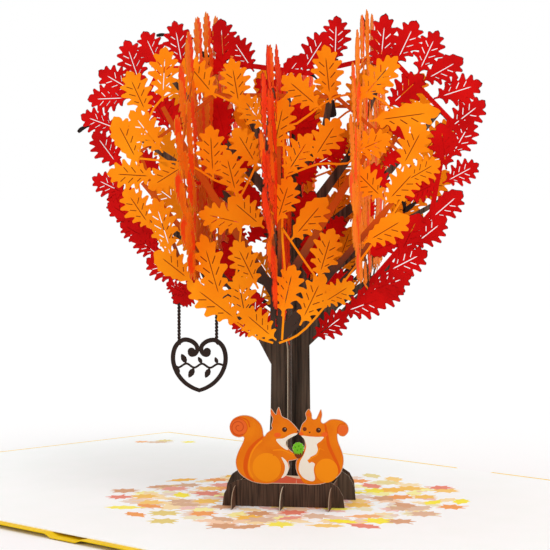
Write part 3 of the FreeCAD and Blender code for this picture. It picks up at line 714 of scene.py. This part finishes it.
RIGHT = [
    (7.4, 9.7), (12.3, 9.7), (16.7, 11.1), (19.4, 13.3), (20.5, 16.0), (20.7, 18.8), (20.0, 21.5),
    (18.8, 24.6), (18.6, 27.0), (19.4, 26.4), (20.8, 26.2), (22.1, 27.4), (22.4, 29.0),
    (21.6, 30.7), (19.4, 31.9), (16.2, 32.0), (13.9, 30.6), (13.0, 31.4), (13.4, 33.4),
    (12.9, 35.4), (11.9, 33.4), (11.2, 32.1), (10.0, 32.1), (9.8, 33.8), (8.8, 35.4), (7.6, 33.9),
    (7.9, 31.9), (6.6, 30.4), (5.9, 28.6), (5.6, 26.9), (7.0, 25.4), (7.5, 23.6), (7.1, 21.6),
    (6.2, 19.4), (4.7, 18.0), (4.3, 16.2), (4.6, 14.0), (5.6, 12.0)]


def inset(points, distance):
    """The outline moved in by a distance, for the print inside the pale cut margin."""
    area = sum(a[0] * b[1] - b[0] * a[1] for a, b in zip(points, points[1:] + points[:1]))
    side = 1 if area > 0 else -1
    moved = []
    for i, (u, z) in enumerate(points):
        before, after = points[i - 1], points[(i + 1) % len(points)]
        run = math.hypot(after[0] - before[0], after[1] - before[1]) or 1.0
        moved.append((u - side * (after[1] - before[1]) / run * distance,
                      z + side * (after[0] - before[0]) / run * distance))
    return moved


def circle(u, z, r, flat_share=1.0, count=20):
    """A round or flattened outline."""
    return [(u + r * math.cos(2 * math.pi * i / count),
             z + r * flat_share * math.sin(2 * math.pi * i / count)) for i in range(count)]


on_roots = facing(ROOT_GAP)
body = Builder()


def on_body(outline, set_back):
    """Adds a cut-out behind the print. Each lies a hair behind the last."""
    body.cut_out(outline, [], on_roots, LEAF_FRONT - set_back, LEAF_BACK)


for outline in (LEFT, RIGHT):
    on_body(smooth(outline, 3, True), 0.03)
# The acorn between the squirrels, cap and nut, and the ground under them
on_body(circle(5.2, 21.9, 2.0), 0.033)
on_body([(3.9, 21.0), (3.9, 19.4), (5.0, 18.3), (6.6, 19.0), (7.0, 21.0)], 0.035)
on_body([(-9.0, 9.7), (13.0, 9.7), (13.0, 11.6), (5.0, 12.4), (-2.0, 12.7), (-9.0, 12.4)], 0.037)
body.make("squirrel_cut_out", [paper("cut_margin", (214, 186, 158)),
                               paper("cut_margin_edge", (190, 170, 150))],
          ["squirrel_sheet"])

# The print: fields of colour, each PRINT_STEP in front of the last
(coat, coat_dark, coat_light, cream, tail_red, eye_dark, acorn_green, acorn_brown, soil, blush,
 tail_dark, acorn_dark) = range(12)
PRINT_FRONT, PRINT_BACK, PRINT_STEP = LEAF_FRONT - 0.028, LEAF_FRONT - 0.04, 0.0006
# Width of the pale cut margin, and of the dark line inside it
MARGIN = 0.17
squirrels = Builder()
layer = [PRINT_FRONT]


def field(points, colour):
    """One printed field with straight sides, a hair in front of the last."""
    layer[0] += PRINT_STEP
    squirrels.cut_out(points, [], on_roots, layer[0], PRINT_BACK, colour, colour)


def soft_field(points, colour):
    """A field with rounded corners."""
    field(smooth(points, 4, True), colour)


def band(points, widths, colour, steps=5):
    """A field along a smooth line."""
    field(strip(smooth(points, steps), widths), colour)


def swelling(ends, middle):
    """A band's width that is larger by middle halfway."""
    return lambda share: ends + middle * math.sin(math.pi * share)


def narrowing(start, loss):
    """A band's width that goes down evenly."""
    return lambda share: start - loss * share


field([(-9.5, 9.9), (-2.3, 9.9), (4.4, 9.9), (4.6, 11.6), (1.0, 12.4), (-2.3, 11.8)], soil)
field([(4.6, 9.9), (12.6, 9.9), (12.0, 10.8), (8.0, 11.4), (4.6, 11.6)], soil)
for outline in (LEFT, RIGHT):
    field(inset(smooth(outline, 3, True), MARGIN), coat_dark)
    field(inset(smooth(outline, 3, True), 2 * MARGIN), coat)

# Left squirrel: tail fold, haunch, belly, chin, arm, spiral of the tail, ears and face
band([(-6.9, 25.6), (-9.6, 23.4), (-11.7, 20.6), (-12.8, 17.2), (-12.9, 14.2), (-11.9, 11.8),
      (-10.0, 10.3)], swelling(0.5, 1.0), coat_dark)
band([(-7.2, 24.4), (-9.3, 22.4), (-10.9, 19.8), (-11.7, 16.8), (-11.6, 14.0), (-10.4, 11.6)],
     even(0.5), coat_light)
field(circle(-5.3, 15.3, 5.1, 1.0, 32), coat)
field(circle(-5.6, 15.2, 4.9, 1.0, 32), coat_light)
soft_field([(-0.6, 18.8), (1.2, 17.4), (1.9, 15.2), (1.2, 12.8), (-0.6, 11.6), (0.4, 13.6),
            (0.6, 16.0)], cream)
soft_field([(-2.4, 24.8), (0.0, 25.2), (2.2, 26.4), (3.9, 27.0), (4.9, 26.9), (4.2, 26.3),
            (1.5, 24.9), (0.9, 23.2), (1.8, 21.4), (0.6, 21.6), (-1.2, 23.0)], cream)
band([(-3.4, 20.2), (-0.6, 20.5), (2.0, 19.7), (4.7, 19.0)], narrowing(2.1, 0.9), coat_light)
band([(-3.6, 20.0), (-0.6, 20.3), (2.0, 19.5), (4.6, 18.9)], narrowing(1.8, 0.8), coat)
field(circle(-15.3, 28.7, 3.1, 1.0, 28), coat_dark)
field(circle(-15.2, 28.7, 2.75, 1.0, 28), tail_red)
SPIRAL_STEPS = 40
spiral = []
for t in range(SPIRAL_STEPS + 1):
    reach, angle = 0.5 + 2.3 * t / SPIRAL_STEPS, 1.2 + t * 0.26
    spiral.append((-15.3 + reach * math.cos(angle), 28.7 + reach * math.sin(angle)))
field(strip(spiral, even(0.3)), tail_dark)
band([(-18.1, 29.6), (-16.8, 31.4), (-14.4, 32.0), (-12.2, 31.0), (-11.5, 28.8)], even(0.45),
     coat_dark)
field([(-3.9, 34.4), (-3.9, 32.8), (-3.0, 32.6)], tail_red)
field([(-1.5, 35.2), (-2.0, 33.4), (-0.9, 33.2)], tail_red)
field(circle(0.5, 28.2, 0.85), eye_dark)
field(circle(0.7, 28.45, 0.13, 1.0, 8), cream)
field(circle(-1.9, 26.3, 1.2, 0.7), blush)
field(circle(5.0, 27.6, 0.35), acorn_brown)

# Right squirrel: tail fold, bib and belly, haunch, arm, curl of the tail, ears and face
band([(14.3, 30.4), (14.9, 27.4), (15.6, 23.2), (17.4, 19.2), (19.0, 15.8), (19.2, 13.6)],
     swelling(0.4, 0.7), coat_dark)
soft_field([(6.3, 26.2), (9.0, 26.0), (11.6, 25.9), (13.9, 25.9), (13.0, 24.6), (11.6, 23.4),
            (11.9, 21.6), (11.2, 20.0), (9.4, 19.0), (8.9, 17.6), (10.8, 16.8), (10.6, 14.2),
            (10.9, 11.4), (9.4, 10.8), (6.8, 12.0), (5.4, 14.4), (5.8, 17.4), (7.2, 20.0),
            (7.9, 22.6), (7.4, 24.8)], cream)
field(circle(14.6, 14.6, 4.1, 1.05, 28), coat)
field(circle(14.9, 14.5, 3.9, 1.05, 28), coat_light)
band([(13.2, 21.8), (12.0, 19.4), (10.2, 18.4), (8.6, 17.4)], narrowing(2.0, 0.9), coat_light)
band([(13.4, 21.6), (12.2, 19.2), (10.3, 18.2), (8.8, 17.3)], narrowing(1.7, 0.8), coat)
field(circle(20.4, 28.4, 1.75), tail_red)
band([(18.7, 27.2), (18.6, 28.8), (19.4, 30.3), (21.2, 30.4)], even(0.35), coat_dark)
field([(8.9, 34.6), (8.2, 33.4), (8.9, 32.4), (9.4, 33.2)], tail_red)
field([(12.9, 34.6), (12.4, 33.2), (12.9, 32.2)], tail_red)
field(circle(7.4, 28.5, 0.7), acorn_brown)
field(circle(12.1, 28.2, 0.85), eye_dark)
field(circle(12.3, 28.45, 0.13, 1.0, 8), cream)
field([(8.7, 27.6), (9.5, 27.6), (9.1, 27.0)], eye_dark)
band([(8.2, 26.7), (9.1, 26.3), (10.1, 26.7)], even(0.25), tail_red, 4)
field(circle(14.2, 26.8, 1.1, 0.7), blush)
field(circle(6.2, 26.9, 0.8, 0.7), blush)

# Acorn: the nut, its prickly cap, and the scales and notches on it
soft_field([(3.6, 21.0), (3.9, 19.6), (5.1, 18.4), (6.5, 19.2), (7.0, 21.0)], acorn_brown)
burr = []
for i in range(22):
    reach, angle = 2.15 if i % 2 else 1.75, math.pi * i / 11
    burr.append((5.2 + reach * math.cos(angle), 22.0 + reach * math.sin(angle)))
field(burr, acorn_green)
for u in (4.0, 4.8, 5.6, 6.4):
    field([(u - 0.3, 21.0), (u, 19.6), (u + 0.3, 21.0)], acorn_green)
for u, z in ((4.2, 22.6), (5.4, 23.0), (4.9, 21.6), (6.1, 22.0)):
    field([(u - 0.35, z), (u, z - 0.75), (u + 0.35, z), (u, z - 0.25)], acorn_dark)

# In the order of the colours' numbers above
squirrels.make("squirrel_print", [
    mottled("print_coat", (222, 110, 8), (232, 126, 12), 110),
    paper("print_coat_dark", (218, 86, 6)), paper("print_coat_light", (240, 140, 12)),
    paper("print_cream", (236, 228, 214)), paper("print_tail_red", (228, 100, 38)),
    paper("print_eye", (78, 34, 16)), paper("print_green", (110, 184, 40)),
    paper("print_acorn_brown", (116, 50, 24)), paper("print_soil", (206, 88, 60)),
    paper("print_blush", (234, 96, 30)), paper("print_tail_dark", (196, 72, 24)),
    paper("print_green_dark", (58, 118, 14))])


# Print on the liner: pale fallen leaves, thick around the roots and thin further out

STAR = [
    (0.0, 1.0), (0.13, 0.62), (0.42, 0.72), (0.36, 0.42), (0.72, 0.30), (0.44, 0.08),
    (0.56, -0.22), (0.2, -0.16), (0.06, -0.3), (0.04, -0.62)]
STAR = STAR + [(-u, v) for u, v in STAR[::-1][:-1]]
OVAL = [
    (0.0, 0.9), (0.18, 0.62), (0.34, 0.58), (0.26, 0.34), (0.44, 0.22), (0.3, 0.0), (0.36, -0.2),
    (0.12, -0.36), (0.04, -0.7)]
OVAL = OVAL + [(-u, v) for u, v in OVAL[::-1][:-1]]
PALE = [
    (250, 190, 66), (244, 158, 78), (234, 134, 112), (218, 162, 120), (252, 236, 50),
    (248, 196, 84), (230, 208, 120), (220, 176, 140)]
# Rows of leaves around the roots (reach, count), under them faint ones out to FAINT_REACH, and a
# few far away (u, v, size)
FAINT_REACH, FAINT_COUNT = 54, 130
FALLEN_ROWS = ((21, 8), (31, 13), (41, 18), (50, 22), (58, 22))
FAR_LEAVES = ((-85, 150, 5.0), (-77, 149, 8.0), (-76, 153, 6.0), (-66, 151, 5.0))
# Sizes of the faint ones and of those in rows, and how far these stray in angle and reach
FAINT_SIZES, ROW_SIZES = (6.5, 8.5), (7.2, 9.0)
ROW_TURN, ROW_STRAY = 0.1, 4
STAR_SHARE = 0.6
# Each leaf lies INK_STEP over the one before it. ROW_NUMBERS keeps the rows' numbers apart.
INK_START, INK_STEP, ROW_NUMBERS = 0.008, 0.0001, 25
# Three strengths of the print, as the share of paper white in it
PAPER_TONE, FADES = 252, (0.0, 0.22, 0.56)
FULL, WEAK, FAINT = range(3)

fallen = Builder()
pick = random.Random(7)


def fall(u, v, size, fade, index):
    """One printed leaf, turned at random."""
    spin = pick.uniform(0, 2 * math.pi)
    shape = STAR if pick.random() < STAR_SHARE else OVAL
    points = [(u + size * (x * math.cos(spin) - y * math.sin(spin)),
               v + size * (x * math.sin(spin) + y * math.cos(spin))) for x, y in shape]
    colour = pick.randrange(len(PALE)) + fade * len(PALE)
    fallen.cut_out(points, [], flat, INK_START + INK_STEP * index, 0.0, colour, colour)


for index in range(FAINT_COUNT):
    angle = pick.uniform(0, 2 * math.pi)
    reach = FAINT_REACH * math.sqrt(pick.random())
    fall(reach * math.cos(angle), reach * math.sin(angle), pick.uniform(*FAINT_SIZES), FAINT, index)
for row, (reach, count) in enumerate(FALLEN_ROWS):
    for index in range(count):
        angle = 2 * math.pi * (index + row / 3) / count + pick.uniform(-ROW_TURN, ROW_TURN)
        out = reach + pick.uniform(-ROW_STRAY, ROW_STRAY)
        fall(out * math.cos(angle), out * math.sin(angle), pick.uniform(*ROW_SIZES),
             pick.choice((FULL, FULL, WEAK)), FAINT_COUNT + row * ROW_NUMBERS + index)
for index, (u, v, size) in enumerate(FAR_LEAVES):
    fall(u, v, size, WEAK, FAINT_COUNT + index)


def faded(rgb, share):
    """A colour mixed with the white of the paper."""
    return tuple(c + (PAPER_TONE - c) * share for c in rgb)


fallen.make("fallen_leaf_print", [paper(f"print_leaf_{fade}_{i}", faded(rgb, FADES[fade]), 0.6)
                                  for fade in (FULL, WEAK, FAINT)
                                  for i, rgb in enumerate(PALE)])


# Floor, light and camera

FLOOR_HALF, FLOOR_Z = 30, -0.0004

floor_white = paper("floor_white", (252, 252, 252), 0.9)
floor_white.node_tree.nodes["Principled BSDF"].inputs["Specular IOR Level"].default_value = 0.0
floor_mesh = bpy.data.meshes.new("floor")
floor_mesh.from_pydata([(FLOOR_HALF * x, FLOOR_HALF * y, FLOOR_Z)
                        for x, y in ((-1, -1), (1, -1), (1, 1), (-1, 1))], [], [(0, 1, 2, 3)])
floor_mesh.materials.append(floor_white)
floor = bpy.data.objects.new("floor", floor_mesh)
bpy.context.scene.collection.objects.link(floor)

# The world lights softly, and is pure white where it is seen directly, mirrored or through glass
WORLD_STRENGTH, SEEN_STRENGTH = 0.88, 1.0
WHITE = (1, 1, 1, 1)
world = bpy.data.worlds.new("studio")
world.use_nodes = True
nodes, links = world.node_tree.nodes, world.node_tree.links
nodes["Background"].inputs["Color"].default_value = WHITE
nodes["Background"].inputs["Strength"].default_value = WORLD_STRENGTH
bright = nodes.new("ShaderNodeBackground")
bright.inputs["Color"].default_value = WHITE
bright.inputs["Strength"].default_value = SEEN_STRENGTH
path = nodes.new("ShaderNodeLightPath")
seen = nodes.new("ShaderNodeMath")
seen.operation = "MAXIMUM"
mixed = nodes.new("ShaderNodeMixShader")
through = nodes.new("ShaderNodeMath")
through.operation = "MAXIMUM"
links.new(path.outputs["Is Camera Ray"], seen.inputs[0])
links.new(path.outputs["Is Glossy Ray"], seen.inputs[1])
links.new(seen.outputs["Value"], through.inputs[0])
links.new(path.outputs["Is Transmission Ray"], through.inputs[1])
links.new(through.outputs["Value"], mixed.inputs["Fac"])
links.new(nodes["Background"].outputs["Background"], mixed.inputs[1])
links.new(bright.outputs["Background"], mixed.inputs[2])
links.new(mixed.outputs["Shader"], nodes["World Output"].inputs["Surface"])
bpy.context.scene.world = world

SUN_STRENGTH, SUN_SIZE, SUN_FROM = 0.7, math.radians(25), Vector((1.25, -0.5, 1.5))
sun_data = bpy.data.lights.new("key", "SUN")
sun_data.energy = SUN_STRENGTH
sun_data.angle = SUN_SIZE
sun = bpy.data.objects.new("key", sun_data)
sun.rotation_euler = SUN_FROM.to_track_quat("Z", "Y").to_euler()
bpy.context.scene.collection.objects.link(sun)

# Fitted to the photograph: the card's edges, the trunk and the sheets' directions
CAMERA_AT, LENS, SENSOR = (0.464, -0.470, 0.1077), 124.2, 36
AZIMUTH, PITCH = math.radians(135.1), math.radians(2.4)
camera_data = bpy.data.cameras.new("camera")
camera_data.lens = LENS
camera_data.sensor_width = SENSOR
camera_data.clip_start, camera_data.clip_end = 0.01, 100
camera = bpy.data.objects.new("camera", camera_data)
bpy.context.scene.collection.objects.link(camera)
camera.location = CAMERA_AT
look = Vector((math.cos(PITCH) * math.cos(AZIMUTH), math.cos(PITCH) * math.sin(AZIMUTH),
               -math.sin(PITCH)))
camera.rotation_mode = "QUATERNION"
camera.rotation_quaternion = look.to_track_quat("-Z", "Y")
bpy.context.scene.camera = camera
bpy.context.scene.view_settings.view_transform = "Standard"
